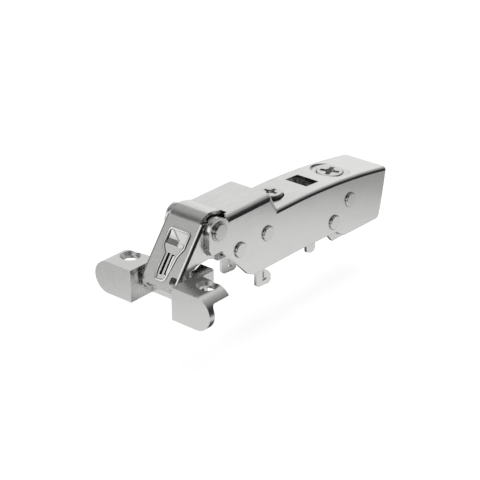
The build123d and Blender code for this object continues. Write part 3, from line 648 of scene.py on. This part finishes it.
def add_nose_shims():
    """A thin shim on each side between the casing's nose and the outer link."""
    for side, name in ((-1.0, "near_nose_shim"), (1.0, "far_nose_shim")):
        inner = [Vector((x * MM, side * SHIM_INNER * MM, z * MM)) for x, z in SHIM]
        outer = [Vector((x * MM, side * SHIM_OUTER * MM, z * MM)) for x, z in SHIM]
        add_prism(name, inner, outer, casing_metal, "arm")


def mirrored_floor(n):
    """Light that the metal mirrors from the floor: slanting bands, with painted shadows and painted shade in
    them.
    """
    place = n.add("TexCoord").outputs["Object"]
    split = n.add("SeparateXYZ")
    n.join(place, split.inputs[0])
    x = split.outputs["X"]
    y = split.outputs["Y"]
    across = n.math("SUBTRACT", x, n.math("MULTIPLY", y, BAND_SLANT))
    bands = n.ramp(n.span(across, BAND_FROM, BAND_TO, 0.0, 1.0), BANDS)
    # Painted shadow underneath the part
    off_middle = n.math("ABSOLUTE", n.math("SUBTRACT", x, UNDER_MIDDLE))
    off_axis = n.math("ABSOLUTE", y)
    light = n.math("MAXIMUM", n.fade(off_middle, UNDER_LENGTH), n.fade(off_axis, UNDER_WIDTH))
    # Painted shadow beside the near lug
    for centre in LUG_PATCHES:
        away = n.vector("DISTANCE", place, centre, output="Value")
        light = n.math("MINIMUM", light, n.fade(away, LUG_PATCH_RADIUS))
    # Painted shade beyond a line in front of the part, which comes nearer to it toward the rear
    line = n.span(x, FRONT_X[0], FRONT_X[1], FRONT_DISTANCE[0], FRONT_DISTANCE[1])
    past = n.math("SUBTRACT", n.math("MULTIPLY", y, -1.0), line)
    light = n.math("MINIMUM", light, n.span(past, 0.0, FRONT_FADE, 1.0, 0.0))
    return n.shade(bands, n.span(light, 0.0, 1.0, DARK_LEVEL, 1.0))


def add_floor():
    """A plain pale floor, white to the camera and with the part's soft shadow."""
    mesh = bpy.data.meshes.new("floor")
    mesh.from_pydata(
        [(x * FLOOR_REACH, y * FLOOR_REACH, FLOOR_LEVEL) for x, y in ((-1, -1), (1, -1), (1, 1), (-1, 1))],
        [], [(0, 1, 2, 3)],
    )
    floor = bpy.data.objects.new("floor", mesh)
    bpy.context.scene.collection.objects.link(floor)
    material = bpy.data.materials.new("floor_white")
    material.use_nodes = True
    tree = material.node_tree
    tree.nodes.clear()
    n = Nodes(tree)
    out = n.add("OutputMaterial")
    rays = n.add("LightPath")
    shown = n.add("AddShader")
    n.join(n.surface("BsdfDiffuse", Color=FLOOR_DIFFUSE), shown.inputs[0])
    n.join(n.surface("Emission", Strength=FLOOR_GLOW), shown.inputs[1])
    mirrored = n.surface("Emission", Color=mirrored_floor(n))
    plain = n.surface("BsdfDiffuse", Color=FLOOR_PLAIN)
    unseen = n.choose(rays.outputs["Is Glossy Ray"], plain, mirrored)
    n.join(n.choose(rays.outputs["Is Camera Ray"], unseen, shown.outputs[0]), out.inputs["Surface"])
    mesh.materials.append(material)


def add_world():
    """White to the camera, a soft studio of light and dark walls to the metal."""
    world = bpy.data.worlds.new("studio")
    bpy.context.scene.world = world
    world.use_nodes = True
    tree = world.node_tree
    tree.nodes.clear()
    n = Nodes(tree)
    out = n.add("OutputWorld")
    rays = n.add("LightPath")
    heading = n.add("TexCoord").outputs["Generated"]
    split = n.add("SeparateXYZ")
    n.join(heading, split.inputs[0])
    light = n.ramp(n.span(split.outputs["X"], -1.0, 1.0, 0.0, 1.0), SIDE)
    for direction, stops in (NEAR_RIGHT_WALL, NEAR_WALL, NEAR_LEFT_WALL):
        toward = n.vector("DOT_PRODUCT", heading, Vector(direction).normalized(), output="Value")
        light = n.vector("MULTIPLY", light, n.ramp(toward, stops))
    studio = n.surface("Background", Color=light)
    soft = n.surface("Background", Color=WORLD_DIFFUSE)
    white = n.surface("Background", Color=WHITE)
    unseen = n.choose(rays.outputs["Is Glossy Ray"], soft, studio)
    n.join(n.choose(rays.outputs["Is Camera Ray"], unseen, white), out.inputs["Surface"])


def add_lamp():
    """One square soft lamp over the part, which the metal doesn't mirror."""
    data = bpy.data.lights.new("overhead", "AREA")
    data.shape = "SQUARE"
    data.size = LAMP_SIZE
    data.energy = LAMP_POWER
    lamp = bpy.data.objects.new("overhead", data)
    lamp.location = LAMP_PLACE
    lamp.rotation_euler = (Vector(LAMP_TARGET) - Vector(LAMP_PLACE)).to_track_quat("-Z", "Y").to_euler()
    bpy.context.scene.collection.objects.link(lamp)
    lamp.visible_glossy = False


add_keyhole_rim()
add_keyhole_floor()
add_strip("slit_tongue", TONGUE, lightened_pressed_metal)
# A black sheet behind the slits: painted shade
add_strip("slit_shade_sheet", SLIT_SHADE_SHEET, slit_shade_metal)
add_nose_shims()
add_camera()
add_floor()
add_world()
add_lamp()
bpy.context.scene.view_settings.view_transform = "Standard"
